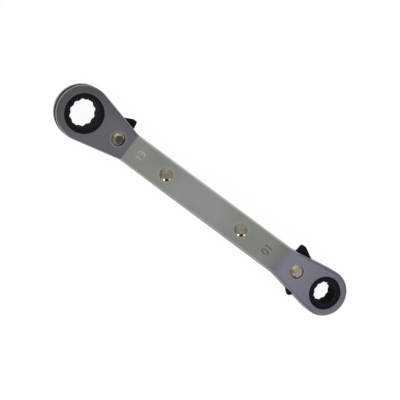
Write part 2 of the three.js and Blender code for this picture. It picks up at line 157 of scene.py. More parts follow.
class Pen:
    """Draws an outline with one vertex, in the plane that its axis is square to."""

    def __init__(self, name, start, axis=(0, 0, 1)):
        bpy.ops.object.select_all(action="DESELECT")
        bpy.ops.mesh.primitive_plane_add(size=MM)
        self.piece = bpy.context.object
        self.piece.name = name
        self.axis = Vector(axis)
        self.place = Vector(start)
        bpy.ops.object.mode_set(mode="EDIT")
        bpy.ops.mesh.select_mode(type="VERT")
        bpy.ops.mesh.select_all(action="SELECT")
        bpy.ops.mesh.merge(type="CENTER")
        bpy.ops.transform.translate(value=self.place)

    def line(self, *corners):
        for corner in corners:
            step = Vector(corner) - self.place
            bpy.ops.mesh.extrude_region_move(TRANSFORM_OT_translate={"value": step})
            self.place = Vector(corner)

    def arc(self, centre, angle, steps):
        centre = Vector(centre)
        bpy.ops.mesh.spin(steps=steps, angle=-angle, center=centre, axis=self.axis)
        self.place = centre + Matrix.Rotation(angle, 3, self.axis) @ (self.place - centre)

    def close(self):
        bpy.ops.mesh.select_all(action="SELECT")
        bpy.ops.mesh.remove_doubles(threshold=tiny)
        bpy.ops.mesh.edge_face_add()


def face_outwards():
    bpy.ops.mesh.select_all(action="SELECT")
    bpy.ops.mesh.normals_make_consistent(inside=False)


def pull_up(height):
    """Extrudes the closed outline in edit mode into a solid."""
    bpy.ops.mesh.extrude_region_move(TRANSFORM_OT_translate={"value": (0, 0, height)})
    face_outwards()


print(f"points closer than {tiny / MM:.3f} mm count as one")

# %% [markdown]
# ## Picking, rounding and cutting
# In edit mode a hand picks edges with the mouse. Here they are picked by their place, such as all edges at
# one height, and then bevelled. One piece cuts another with the Boolean modifier, which is applied at once.
# Last, round stretches are shaded smooth, and weighted normals keep the flat faces between them flat.

# %% Edge and cutting tools
smooth_up_to = radians(28)


def pick_edges(passes):
    """Selects the edges whose two ends pass a test."""
    bpy.ops.mesh.select_mode(type="EDGE")
    bpy.ops.mesh.select_all(action="DESELECT")
    shape = bmesh.from_edit_mesh(bpy.context.object.data)
    for edge in shape.edges:
        if passes(edge.verts[0].co, edge.verts[1].co):
            edge.select_set(True)
    bmesh.update_edit_mesh(bpy.context.object.data)


def pick_level(level, least_radius=0.0):
    """Selects the edges at one height, and only those some way out from the middle if wanted."""
    def passes(*ends):
        return all(abs(end.z - level) < tiny and hypot(end.x, end.y) > least_radius for end in ends)

    pick_edges(passes)


def round_off(width, segments):
    bpy.ops.mesh.bevel(offset=width, segments=segments, affect="EDGES", clamp_overlap=False)


def combine(piece, tool, operation="DIFFERENCE"):
    """Cuts a tool's shape out of a piece, or joins it on, and throws the tool away."""
    select_only(piece)
    bpy.ops.object.modifier_add(type="BOOLEAN")
    step = piece.modifiers[-1]
    step.object = tool
    step.operation = operation
    step.solver = "EXACT"
    bpy.ops.object.modifier_apply(modifier=step.name)
    bpy.data.objects.remove(tool)


def smooth(piece, angle=smooth_up_to):
    """Shades round stretches smooth and keeps flat faces flat."""
    select_only(piece)
    bpy.ops.object.shade_smooth_by_angle(angle=angle)
    bpy.ops.object.modifier_add(type="WEIGHTED_NORMAL")
    piece.modifiers[-1].keep_sharp = True
    bpy.ops.object.modifier_apply(modifier=piece.modifiers[-1].name)


print(f"edges up to {smooth_up_to / radians(1):.0f} degrees are shaded smooth")

# %% [markdown]
# ## Setting a piece down
# A finished piece goes from its bench into the wrench. There it stands for one plain solid: it rides on that
# solid's body, takes its material slot and hides it.

# %% Setting down
slots = {row["node"]: row["material_slot"] for row in frame["record"]["subparts"]}
dressed = []


def set_down(piece, place, body, solid):
    """Moves a finished piece from its bench into the wrench, where it stands for a plain solid."""
    select_only(piece)
    piece.matrix_world = place
    bpy.ops.object.transform_apply(location=True, rotation=True, scale=True)
    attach(piece, body)
    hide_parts(solid)
    dressed.append((piece, slots[solid]))
    print(f"{piece.name}: {len(piece.data.polygons)} faces, for {solid}")


print("material slots:", ", ".join(sorted(set(slots.values()))))

# %% [markdown]
# ## Round holes
# A drill of the hole's size cuts a round hole. Its two ends flare out at 45 degrees where the hole's
# edges are broken, so the bevel comes with the cut and no thin faces are left at the rim.

# %% Drill
hole_sides = 96
square_on = 0.9  # the least part of a normal along the drill on its end faces


def drill(piece, place, radius, depth, flare=0.0):
    bpy.ops.object.select_all(action="DESELECT")
    straight = depth - 2 * flare if flare else 2 * depth
    bpy.ops.mesh.primitive_cylinder_add(vertices=hole_sides, radius=radius, depth=straight, location=place)
    tool = bpy.context.object
    if flare:
        bpy.ops.object.mode_set(mode="EDIT")
        for side in (-1, 1):
            bpy.ops.mesh.select_mode(type="FACE")
            bpy.ops.mesh.select_all(action="DESELECT")
            shape = bmesh.from_edit_mesh(tool.data)
            for face in shape.faces:
                at_end = side * face.calc_center_median().z > 0
                face.select_set(at_end and side * face.normal.z > square_on)
            bmesh.update_edit_mesh(tool.data)
            lift = (0, 0, 2 * side * flare)
            bpy.ops.mesh.extrude_region_move(TRANSFORM_OT_translate={"value": lift})
            spread = (radius + 2 * flare) / radius
            bpy.ops.transform.resize(value=(spread, spread, 1), center_override=place)
        bpy.ops.object.mode_set(mode="OBJECT")
    combine(piece, tool)


print(f"a drill has {hole_sides} sides")

# %% [markdown]
# ## Bending
# Plates and core are made flat and then bent at both ends, as in a press. Blender's bend tool needs a
# window, so the flat piece is first sliced across at even steps with bisect, and each of its points is then
# rolled round the bend. The middle of the thickness keeps its length.

# %% Press
bend_slices = 10


def rolled(place):
    side = 1 if place.x > 0 else -1
    past = max(abs(place.x) - bend_start, 0)
    turn = min(past / bend_radius, bend_angle)
    straight = past - turn * bend_radius
    radius = bend_radius + side * place.z
    out = abs(place.x) - past + radius * sin(turn) + straight * cos(turn)
    drop = radius * (1 - cos(turn)) + straight * sin(turn)
    return Vector((side * out, place.y, place.z - side * drop))


def bend_ends(piece):
    select_only(piece)
    bpy.ops.object.mode_set(mode="EDIT")
    for side in (-1, 1):
        for step in range(bend_slices + 1):
            slice_at = bend_start + (neck_start - bend_start) * step / bend_slices
            bpy.ops.mesh.select_all(action="SELECT")
            bpy.ops.mesh.bisect(plane_co=(side * slice_at, 0, 0), plane_no=(1, 0, 0))
    bpy.ops.object.mode_set(mode="OBJECT")
    for corner in piece.data.vertices:
        corner.co = rolled(corner.co)


print(f"each bend is {bend_radius * bend_angle / MM:.1f} mm long, in {bend_slices} slices")

# %% [markdown]
# ## Side plates
# Each plate is stamped from sheet: straight flanks run from the handle into a round head, and the outer
# edge is rolled over. The outline is drawn once round, pulled up to the sheet's thickness, and its outer and
# inner rims are rounded before the holes are drilled, so the round edge meets no hole.

# %% Plates
handle_width = 15.4 * MM
plate_thickness = 3.9 * MM
plate_gap = pack_thickness - 2 * plate_thickness
edge_round = 1.4 * MM
inner_edge_break = 0.35 * MM
hole_edge_break = 0.3 * MM
running_gap = 0.3 * MM
shank_hole = 1.9 * MM
rivet_station = 22.8 * MM
head_steps = 84


def plate_blank(name, facing):
    half = handle_width / 2
    level = facing * plate_gap / 2
    pen = Pen(name, (small.side * neck_start, -half, level))
    for head in (small, big):
        run = head.station - neck_start
        wrap = pi - atan2(half, run) - acos(head.rim / hypot(run, half))
        meet = head.side * (head.station + head.rim * cos(wrap))
        pen.line((head.side * neck_start, -head.side * half, level))
        pen.line((meet, -head.side * head.rim * sin(wrap), level))
        pen.arc((head.side * head.station, 0, level), 2 * wrap, head_steps)
        pen.line((head.side * neck_start, head.side * half, level))
    pen.close()
    pull_up(facing * plate_thickness)
    outer = facing * pack_thickness / 2
    pick_level(outer)
    round_off(edge_round, segments=7)
    pick_level(level)
    round_off(inner_edge_break, segments=2)
    bpy.ops.object.mode_set(mode="OBJECT")
    return pen.piece


def drill_plate(plate, facing):
    level = facing * (plate_gap + plate_thickness) / 2
    for head in (small, big):
        gear_place = (head.side * head.station, 0, level)
        drill(plate, gear_place, head.hub + running_gap, plate_thickness, hole_edge_break)
        for station in (neck_start + neck_length, rivet_station):
            drill(plate, (head.side * station, 0, level), shank_hole, plate_thickness)


print(f"plates {plate_thickness / MM:.1f} mm thick and {plate_gap / MM:.1f} mm apart")

# %% [markdown]
# ## Size figures
# The front plate has the size of each opening stamped into the handle, read across it. Text with its
# strokes thickened a little is turned into a mesh and cut into the flat face a quarter of a millimetre deep.
# A bump in the finish would be less work, but only a real cut has walls that catch the light.

# %% Stamps
figure_height = 5.6 * MM
figure_depth = 0.25 * MM
figure_stroke_gain = 0.1 * MM
figure_station = 38.4 * MM
figure_curve_steps = 4


def stamp_figure(plate, head):
    bpy.ops.object.select_all(action="DESELECT")
    place = (head.side * figure_station, 0, pack_thickness / 2)
    bpy.ops.object.text_add(location=place, rotation=(0, 0, -head.side * pi / 2))
    figure = bpy.context.object
    figure.data.body = f"{head.opening / MM:.0f}"
    figure.data.size = figure_height
    figure.data.extrude = figure_depth
    figure.data.offset = figure_stroke_gain
    figure.data.resolution_u = figure_curve_steps
    figure.data.align_x = "CENTER"
    figure.data.align_y = "CENTER"
    bpy.ops.object.convert(target="MESH")
    combine(plate, figure)


front_plate = plate_blank("front_plate", 1)
back_plate = plate_blank("back_plate", -1)
drill_plate(front_plate, 1)
drill_plate(back_plate, -1)
stamp_figure(front_plate, big)
stamp_figure(front_plate, small)
for plate, solid in ((front_plate, "front_side_plate"), (back_plate, "back_side_plate")):
    bend_ends(plate)
    smooth(plate)
    set_down(plate, handle_bench, "handle", solid)

# %% [markdown]
# ## Handle core
# A bar fills the handle between the plates. Its ends are cut to a blunt V that stops the pawl at either
# throw, and a slot in each end holds the detent spring. It is drawn, pulled up and drilled like the plates
# and bent in the same press, so that it lies evenly between them. Only its long edges show, in the groove.

# %% Core
core_setback = 0.3 * MM
seat_gap = 0.1 * MM
pawl_back = 3 * MM
slot_half = 1.4 * MM
core_edge_break = 0.15 * MM


def core_bar():
    half = handle_width / 2 - core_setback
    thickness = plate_gap - 2 * seat_gap
    level = -thickness / 2
    slot_end = bend_start

    def stop_at(y, throw):
        return neck_start + neck_length - (pawl_back + running_gap + y * sin(throw)) / cos(throw)

    pen = Pen("core_bar", (stop_at(half, small.throw), -half, level))
    for head in (small, big):
        outer = stop_at(half, head.throw)
        inner = stop_at(slot_half, head.throw)
        corners = [(outer, -half), (inner, -slot_half), (slot_end, -slot_half)]
        corners += [(x, -y) for x, y in reversed(corners)]
        for x, y in corners:
            pen.line((head.side * x, head.side * y, level))
    pen.close()
    pull_up(thickness)
    for face_level in (level, -level):
        pick_level(face_level)
        round_off(core_edge_break, segments=2)
    bpy.ops.object.mode_set(mode="OBJECT")
    for side in (-1, 1):
        drill(pen.piece, (side * rivet_station, 0, 0), shank_hole, thickness)
    return pen.piece


core = core_bar()
bend_ends(core)
smooth(core)
set_down(core, handle_bench, "handle", "handle_core")

# %% [markdown]
# ## Ratchet gears
# A gear is a toothed flange between the plates with a hub that runs in their holes. The flange is drawn
# tooth by tooth, from tip to root and back, and pulled up. The hub is a cylinder with bevelled rims. They
# are made apart and joined afterwards, because each by itself is a simple shape.

# %% Gear blanks
tooth_count = 24
tooth_root_width = 0.4 * MM
tooth_flank = radians(45)
hub_recess = 0.4 * MM
hub_edge_break = 0.4 * MM
hub_half = pack_thickness / 2 - hub_recess
flange_thickness = plate_gap - 2 * running_gap


def on_circle(radius, angle, z):
    return Vector((radius * cos(angle), radius * sin(angle), z))


def tooth_turns(head):
    """Half the angle of a tooth gap at its root and at the tips."""
    at_tip = tooth_root_width / 2 + (head.tip - head.root) * tan(tooth_flank)
    return asin(tooth_root_width / 2 / head.root), asin(at_tip / head.tip)


def toothed_flange(head):
    root_turn, tip_turn = tooth_turns(head)
    pitch = 2 * pi / tooth_count
    level = -flange_thickness / 2
    pen = Pen(f"{head.label}_gear_ring", on_circle(head.tip, -tip_turn, level))
    for tooth in range(tooth_count):
        gap = tooth * pitch
        pen.line(on_circle(head.tip, gap - tip_turn, level), on_circle(head.root, gap - root_turn, level))
        pen.line(on_circle(head.root, gap + root_turn, level), on_circle(head.tip, gap + tip_turn, level))
    pen.close()
    pull_up(flange_thickness)
    bpy.ops.object.mode_set(mode="OBJECT")
    return pen.piece


def hub(head):
    bpy.ops.object.select_all(action="DESELECT")
    bpy.ops.mesh.primitive_cylinder_add(vertices=hole_sides, radius=head.hub, depth=2 * hub_half)
    bpy.ops.object.mode_set(mode="EDIT")
    for level in (-hub_half, hub_half):
        pick_level(level)
        round_off(hub_edge_break, segments=3)
    bpy.ops.object.mode_set(mode="OBJECT")
    return bpy.context.object


print(f"{tooth_count} teeth on a flange {flange_thickness / MM:.1f} mm thick")

# %% [markdown]
# ## The 12-point openings
# A fastener's corners fit into a star of 12 points, and a shallow cone at each mouth leads them in. Star and
# cones are cut out of the gear. The star's own edges are rounded first, which rounds every corner of the
# opening at once.

# %% Gears
star_points = 12
star_round = 0.22 * MM
lead_in = 0.7 * MM


def star(head):
    pitch = 2 * pi / star_points
    inner = head.opening / 2 / cos(pitch / 2)
    level = -pack_thickness
    pen = Pen("star", on_circle(head.points, pitch / 2, level))
    for point in range(star_points):
        pen.line(on_circle(head.points, (point + 0.5) * pitch, level))
        pen.line(on_circle(inner, (point + 1) * pitch, level))
    pen.close()
    pull_up(2 * pack_thickness)
    pick_edges(lambda one, other: abs(one.z - other.z) > pack_thickness)
    round_off(star_round, segments=3)
    bpy.ops.object.mode_set(mode="OBJECT")
    return pen.piece


def lead_in_cone(head, side):
    mouth = head.points + lead_in / 2
    bpy.ops.object.select_all(action="DESELECT")
    bpy.ops.mesh.primitive_cone_add(
        vertices=hole_sides, radius1=mouth - lead_in, radius2=mouth + lead_in, depth=2 * lead_in,
        location=(0, 0, side * hub_half), rotation=(0 if side > 0 else pi, 0, 0),
    )
    return bpy.context.object


for head in (big, small):
    gear = toothed_flange(head)
    combine(gear, hub(head), "UNION")
    for tool in (star(head), lead_in_cone(head, 1), lead_in_cone(head, -1)):
        combine(gear, tool)
    smooth(gear)
    set_down(gear, head.gear_bench, f"{head.label}_gear", f"{head.label}_ratchet_gear")

# %% [markdown]
# ## Reversing pawls
# A pawl is blanked from plate: two noses for the teeth, a cam behind the pivot and two thumb ears that stand
# out of the neck. The plain solid has its working outline to the hundredth, so a copy of it is the blank.
# The copy's loose triangles are merged, slivers are dissolved and the flat faces joined. A face can't hold
# the bore as a hole, so a seam across the pivot splits it well away from the ears. Last, the ears' edges,
# which the thumb feels, are rounded.

# %% Pawls
ear_edge_round = 0.3 * MM
ear_starts = 8.6 * MM
sliver = 2 * tiny
flat_up_to = radians(1)


def pawl_rocker(head):
    select_only(nodes[f"{head.label}_reversing_pawl"])
    bpy.ops.object.duplicate()
    pawl = bpy.context.object
    pawl.name = f"{head.label}_pawl_rocker"
    pawl.parent = None
    for key in list(pawl.keys()):
        del pawl[key]
    pawl.data.transform(head.pawl_bench.inverted())
    bpy.ops.object.mode_set(mode="EDIT")
    bpy.ops.mesh.select_all(action="SELECT")
    bpy.ops.mesh.remove_doubles(threshold=tiny)
    bpy.ops.mesh.dissolve_degenerate(threshold=sliver)
    bpy.ops.mesh.select_all(action="SELECT")
    bpy.ops.mesh.bisect(plane_co=(0, 0, 0), plane_no=(0, 1, 0))
    bpy.ops.mesh.mark_seam()
    bpy.ops.mesh.select_all(action="SELECT")
    bpy.ops.mesh.dissolve_limited(angle_limit=flat_up_to, delimit={"SEAM"})
    level = flange_thickness / 2
    for side in (-1, 1):
        pick_level(side * level, ear_starts)
        round_off(ear_edge_round, segments=3)
    bpy.ops.object.mode_set(mode="OBJECT")
    return pawl


for head in (big, small):
    pawl = pawl_rocker(head)
    smooth(pawl)
    set_down(pawl, head.pawl_bench, f"{head.label}_pawl", f"{head.label}_reversing_pawl")

# %% [markdown]
# ## Turning
# Rivets, sleeves and balls are turned, and each is the same above and below. So half of the upper section
# is drawn, spun once round and mirrored downwards. Each kind is made once, and the second one is a copy
# with its own mesh.

# %% Lathe
spin_steps = 72


def turned(pen):
    """Spins the half section that a pen has drawn, and mirrors it downwards."""
    bpy.ops.mesh.select_all(action="SELECT")
    bpy.ops.mesh.spin(steps=spin_steps, angle=2 * pi, center=(0, 0, 0), axis=(0, 0, 1))
    bpy.ops.object.mode_set(mode="OBJECT")
    bpy.ops.object.modifier_add(type="MIRROR")
    mirror = pen.piece.modifiers[-1]
    mirror.use_axis = (False, False, True)
    mirror.merge_threshold = tiny
    bpy.ops.object.modifier_apply(modifier=mirror.name)
    bpy.ops.object.mode_set(mode="EDIT")
    bpy.ops.mesh.select_all(action="SELECT")
    bpy.ops.mesh.remove_doubles(threshold=tiny)
    face_outwards()
    bpy.ops.object.mode_set(mode="OBJECT")
    smooth(pen.piece)
    return pen.piece


def pair(made, other_name):
    """The finished piece for the big head and its copy for the small one."""
    select_only(made)
    bpy.ops.object.duplicate()
    bpy.context.object.name = other_name
    return (big, made), (small, bpy.context.object)


print(f"turned pieces have {spin_steps} sides")

# %% [markdown]
# ## Rivets
# From the rim of a rivet's head a bulged flank leads up, and a round shoulder leads on to the flat top. The
# tilts at both ends of the flank give the shape: a low dome for the handle's rivets, and a steeper stump
# with a wide top for the pivots. So one function makes both kinds. The middle lines of all four are kept,
# because the finishes need them.

# %% Rivets
rivet_shank = 1.6 * MM
rivet_land = 0.3 * MM
flank_steps = 8


def at_tilt(radius, tilt):
    return Vector((radius * sin(tilt), 0, radius * cos(tilt)))


def rivet(name, head_radius, height, shoulder_round, rim_tilt, shoulder_tilt):
    seat = pack_thickness / 2 + seat_gap
    edge = seat + rivet_land
    top = seat + height
    rise = top - edge - shoulder_round * (1 - cos(shoulder_tilt))
    bulge = rise / (cos(shoulder_tilt) - cos(rim_tilt))
    pen = Pen(name, (rivet_shank, 0, 0), axis=(0, 1, 0))
    pen.line((rivet_shank, 0, seat), (head_radius, 0, seat), (head_radius, 0, edge))
    pen.arc(pen.place - at_tilt(bulge, rim_tilt), shoulder_tilt - rim_tilt, flank_steps)
    pen.arc(pen.place - at_tilt(shoulder_round, shoulder_tilt), -shoulder_tilt, flank_steps)
    pen.line((0, 0, top))
    return turned(pen)


rivet_axes = []
pivot_rivet = rivet(
    "big_pivot_rivet", head_radius=3.5 * MM, height=1.9 * MM, shoulder_round=0.5 * MM,
    rim_tilt=radians(57), shoulder_tilt=radians(41),
)
for head, piece in pair(pivot_rivet, "small_pivot_rivet"):
    set_down(piece, head.pawl_bench, "handle", f"{head.label}_pawl_rivet")
    rivet_axes.append(head.pawl_bench)
grip_rivet = rivet(
    "big_grip_rivet", head_radius=3.25 * MM, height=1.3 * MM, shoulder_round=3 * MM,
    rim_tilt=radians(38.7), shoulder_tilt=radians(20.6),
)
for head, piece in pair(grip_rivet, "small_grip_rivet"):
    grip_bench = handle_bench @ Matrix.Translation((head.side * rivet_station, 0, 0))
    set_down(piece, grip_bench, "handle", f"{head.label}_handle_rivet")
    rivet_axes.append(grip_bench)

# %% [markdown]
# ## Pivot sleeves and detent balls
# Inside each neck a sleeve on the pivot rivet keeps the plates apart, so that riveting can't clamp the pawl,
# and a ball behind the pawl drops into one of its two notches. Both are turned like the rivets: the sleeve
# from half of its chamfered wall, and the ball from a quarter circle.

# %% Sleeves and balls
sleeve_wall = 0.5 * MM
sleeve_chamfer = 0.12 * MM
ball_radius = 1.1 * MM
ball_place = 5.05 * MM
ball_steps = 10


def pivot_sleeve(name):
    outer = shank_hole + sleeve_wall
    end = plate_gap / 2 - seat_gap
    pen = Pen(name, (shank_hole, 0, 0), axis=(0, 1, 0))
    pen.line((shank_hole, 0, end - sleeve_chamfer), (shank_hole + sleeve_chamfer, 0, end))
    pen.line((outer - sleeve_chamfer, 0, end), (outer, 0, end - sleeve_chamfer), (outer, 0, 0))
    return turned(pen)


def locking_ball(name):
    pen = Pen(name, (ball_radius, 0, 0), axis=(0, 1, 0))
    pen.arc((0, 0, 0), -pi / 2, ball_steps)
    return turned(pen)


for head, piece in pair(pivot_sleeve("big_pivot_sleeve"), "small_pivot_sleeve"):
    set_down(piece, head.pawl_bench, "handle", f"{head.label}_pawl_sleeve")
for head, piece in pair(locking_ball("big_locking_ball"), "small_locking_ball"):
    ball_bench = head.pawl_bench @ Matrix.Translation((ball_place, 0, 0))
    set_down(piece, ball_bench, f"{head.label}_ball", f"{head.label}_detent_ball")

# %% [markdown]
# ## Detent springs
# Behind each detent ball stands a short coil spring in the core's slot. A ring of wire is wound up by the
# Screw modifier, and the two cut ends are closed. A curve could carry the wire too, but the modifier takes
# the number of curls and their rise as they are. Both springs are the same.

# %% Springs
spring_wire = 0.3 * MM
spring_radius = 0.8 * MM
spring_curls = 3
wire_sides = 10
curl_steps = 24
wire_smooth_up_to = radians(60)


def detent_spring(name):
    start = ball_place + ball_radius + running_gap
    slot_end = neck_length + bend_radius * sin(bend_angle)
    slot_rise = bend_radius * (1 - cos(bend_angle))
    stop = slot_end - (spring_radius + spring_wire / 2 - slot_rise) * tan(bend_angle) - running_gap
    first_curl = (spring_radius, 0, start + spring_wire)
    bpy.ops.object.select_all(action="DESELECT")
    bpy.ops.mesh.primitive_circle_add(vertices=wire_sides, radius=spring_wire / 2, location=first_curl)
    spring = bpy.context.object
    spring.name = name
    spring.rotation_euler.x = pi / 2
    bpy.ops.object.transform_apply(location=True, rotation=True, scale=True)
    bpy.ops.object.modifier_add(type="SCREW")
    winding = spring.modifiers[-1]
    winding.iterations = spring_curls
    winding.screw_offset = (stop - start - 2 * spring_wire) / spring_curls
    winding.steps = winding.render_steps = curl_steps
    bpy.ops.object.modifier_apply(modifier=winding.name)
    bpy.ops.object.mode_set(mode="EDIT")
    bpy.ops.mesh.select_all(action="SELECT")
    bpy.ops.mesh.remove_doubles(threshold=tiny)
    bpy.ops.mesh.fill_holes(sides=0)
    face_outwards()
    bpy.ops.object.mode_set(mode="OBJECT")
    smooth(spring, wire_smooth_up_to)
    return spring


for head, piece in pair(detent_spring("big_coil_spring"), "small_coil_spring"):
    along_handle = head.pawl_bench @ Matrix.Rotation(pi / 2, 4, "Y")
    set_down(piece, along_handle, "handle", f"{head.label}_detent_spring")

# %% [markdown]
# ## Shader expressions
# A finish is a node material, but its maths reads better as plain expressions. A wire below wraps one
# socket, and adding, multiplying or subtracting wires adds Math nodes. Any other node comes from one method
# that takes its type, its settings and what goes into its sockets.

# %% Wires and graphs
class Wire:
    """One output socket of a node, with Python's operators for Math nodes."""

    def __init__(self, graph, socket):
        self.graph = graph
        self.socket = socket

    def math(self, operation, *values):
        return self.graph.node("ShaderNodeMath", {"operation": operation}, dict(enumerate(values)))

    def __add__(self, other):
        return self.math("ADD", self, other)

    def __sub__(self, other):
        return self.math("SUBTRACT", self, other)

    def __rsub__(self, other):
        return self.math("SUBTRACT", other, self)

    def __mul__(self, other):
        return self.math("MULTIPLY", self, other)

    def __abs__(self):
        return self.math("ABSOLUTE", self)

    __radd__ = __add__
    __rmul__ = __mul__

    def output(self, name):
        return Wire(self.graph, self.socket.node.outputs[name])


class Graph:
    """The nodes of a material or of the room's light."""

    def __init__(self, tree):
        self.tree = tree

    def node(self, kind, settings, sockets, output=0):
        made = self.tree.nodes.new(kind)
        for key, value in settings.items():
            setattr(made, key, value)
        for key, value in sockets.items():
            if isinstance(value, Wire):
                self.tree.links.new(value.socket, made.inputs[key])
            else:
                made.inputs[key].default_value = value
        return Wire(self, made.outputs[output])

    def part(self, vector, axis):
        return self.node("ShaderNodeSeparateXYZ", {}, {0: vector}, axis)

    def along(self, vector, axis):
        sockets = {0: vector, 1: axis}
        return self.node("ShaderNodeVectorMath", {"operation": "DOT_PRODUCT"}, sockets, "Value")

    def ramp(self, wire, low, high, out_low=0.0, out_high=1.0):
        """A smooth step from one level to another as the wire goes from low to high."""
        sockets = {"Value": wire, "From Min": low, "From Max": high, "To Min": out_low, "To Max": out_high}
        return self.node("ShaderNodeMapRange", {"interpolation_type": "SMOOTHSTEP"}, sockets)

    def fade(self, wire, low, high, full=1.0):
        """A smooth step from a full level down to nothing."""
        return self.ramp(wire, low, high, full, 0.0)

    def blend(self, factor, first, second):
        return self.node("ShaderNodeMix", {"data_type": "RGBA"}, {0: factor, 6: first, 7: second}, 2)


# %% [markdown]
# ## What every finish needs
# All finishes here start from the Principled shader and read Object coordinates, so their patterns stay with
# the piece. Clouds and scratches come from noise, which is drawn out for a grain, and rings from the
# distance to a rivet's middle line. Colours are given in the usual screen values and made linear.

# %% Finish
noise_roughness = 0.55


class Finish(Graph):
    """A material, with the wires of its surface's place and normal at hand."""

    def __init__(self, name, **constants):
        self.material = bpy.data.materials.new(name)
        self.material.use_nodes = True
        super().__init__(self.material.node_tree)
        self.surface = self.tree.nodes["Principled BSDF"]
        for socket, value in constants.items():
            self.surface.inputs[socket.replace("_", " ")].default_value = value
        self.place = self.node("ShaderNodeTexCoord", {}, {}, "Object")
        self.normal = self.place.output("Normal")

    def feed(self, name, wire):
        self.tree.links.new(wire.socket, self.surface.inputs[name])

    def noise(self, size, stretch=1.0, turn=0.0, detail=3.0):
        """Clouds about as large as the given size, drawn out upright and along X or turned from it."""
        sockets = {"Vector": self.place, "Rotation": (0, 0, turn), "Scale": (stretch, 1, stretch)}
        where = self.node("ShaderNodeMapping", {"vector_type": "TEXTURE"}, sockets)
        sockets = {"Vector": where, "Scale": 1 / size, "Detail": detail, "Roughness": noise_roughness}
        return self.node("ShaderNodeTexNoise", {}, sockets, "Fac")

    def from_axis(self, axis_bench):
        """Distance from the upright middle line of a bench."""
        sockets = {0: self.place, 1: axis_bench.translation}
        moved = self.node("ShaderNodeVectorMath", {"operation": "SUBTRACT"}, sockets)
        sockets = {0: moved, 1: axis_bench.col[2].xyz}
        square = self.node("ShaderNodeVectorMath", {"operation": "CROSS_PRODUCT"}, sockets)
        return self.node("ShaderNodeVectorMath", {"operation": "LENGTH"}, {0: square}, "Value")

    def from_nearest(self, benches):
        distances = [self.from_axis(axis_bench) for axis_bench in benches]
        nearest = distances[0]
        for distance in distances[1:]:
            nearest = nearest.math("MINIMUM", nearest, distance)
        return nearest

    def bump(self, height, strength, depth):
        sockets = {"Height": height, "Strength": strength, "Distance": depth}
        self.feed("Normal", self.node("ShaderNodeBump", {}, sockets))


def linear(value):
    part = value / 255
    return part / 12.92 if part <= 0.04045 else ((part + 0.055) / 1.055) ** 2.4


def colour(red, green, blue):
    """A shader colour from the usual 0 to 255 screen values."""
    return linear(red), linear(green), linear(blue), 1.0


finishes = {}


def keep(slot, finish):
    finishes[slot] = finish.material
    print(f"{finish.material.name}: {len(finish.tree.nodes)} nodes, for {slot}")


print(f"a screen grey of 128 is {linear(128):.2f} of white's light")

# %% [markdown]
# ## The tone of the plates
# The plates are tumbled and nickel plated. The handle is greenish and the heads bluish, darkest at the big
# end: a painted reflection, as the tilted heads face another part of the room than the handle. The change
# follows the place along the wrench, sharp at the big crease and soft at the small one, with a band of
# painted shade there. Painted shade also darkens the big head's far end and far flank and the small head's
# tip, and the handle's middle is painted paler, a painted sheen.

# %% Nickel tones
handle_dark = colour(119, 122, 114)
handle_light = colour(161, 164, 157)
handle_painted_sheen = colour(164, 167, 162)
big_dark = colour(92, 91, 97)
big_light = colour(119, 118, 125)
big_end_painted_shade = colour(78, 79, 78)
big_far_flank_painted_shade = colour(76, 75, 79)
small_dark = colour(112, 110, 121)
small_light = colour(143, 141, 154)
small_tip_painted_shade = colour(104, 101, 108)
crease_painted_shade = colour(100, 101, 99)
big_crease = (handle_bench @ Vector((-bend_start, 0, pack_thickness / 2))).x
small_crease = (handle_bench @ Vector((bend_start, 0, pack_thickness / 2))).x


def along_wrench(finish, mottle):
    """The tone of the plates from the big end to the small one, with its painted reflection, shade and sheen."""
    x = finish.part(finish.place, "X")
    y = finish.part(finish.place, "Y")
    handle_tone = finish.blend(mottle, handle_dark, handle_light)
    # The handle's middle is painted paler, a painted sheen.
    painted_sheen = finish.fade(abs(x), 4 * MM, 30 * MM, full=0.4)
    tone = finish.blend(painted_sheen, handle_tone, handle_painted_sheen)

    # The heads' bluish tone is a painted reflection of their tilt, laid over clouds of uneven tone.
    big_tone = finish.blend(mottle, big_dark, big_light)
    # Painted shade darkens the big head towards its far end.
    big_end_shade = finish.fade(x, -86 * MM, -58 * MM, full=0.75)
    big_tone = finish.blend(big_end_shade, big_tone, big_end_painted_shade)
    # Painted shade darkens the big head's far flank.
    far_flank_shade = 0.45 * finish.ramp(y, 4 * MM, 13 * MM)
    big_tone = finish.blend(far_flank_shade, big_tone, big_far_flank_painted_shade)
    at_big = finish.fade(x, big_crease - 0.7 * MM, big_crease - 0.1 * MM)
    tone = finish.blend(at_big, tone, big_tone)

    small_tone = finish.blend(mottle, small_dark, small_light)
    # Painted shade darkens the small head towards its tip.
    small_tip_shade = 0.65 * finish.ramp(x, 50 * MM, 80 * MM)
    small_tone = finish.blend(small_tip_shade, small_tone, small_tip_painted_shade)
    at_small = finish.ramp(x, small_crease - 2 * MM, small_crease + 3 * MM)
    tone = finish.blend(at_small, tone, small_tone)
    # A band of painted shade lies across the small crease.
    before = finish.ramp(x, small_crease - 7 * MM, small_crease)
    after = finish.fade(x, small_crease, small_crease + 5 * MM, full=0.4)
    return finish.blend(before * after, tone, crease_painted_shade)


print(f"creases at {big_crease / MM:.1f} and {small_crease / MM:.1f} mm along the wrench")

# %% [markdown]
# ## Marks on the plates
# The stamped figures are told from the flat face by their depth: the big end's are paler, and the small
# end's darker, a painted shade in their recess. The rolled edges are told by the surface normal, and their
# tone is painted highlight and shade: a painted highlight along the far side of the handle, along the near
# side a painted highlight that turns to bluish painted shade towards the small end, a painted highlight on
# the rest of the big head's edges, and painted shade round the small head and at the tip of the big one.
# Scratches are two layers of drawn-out noise that cross each other.

# %% Nickel marks
pale_figures = colour(184, 186, 182)
recess_shaded_figures = colour(104, 106, 101)
figure_half_width = 3.6 * MM
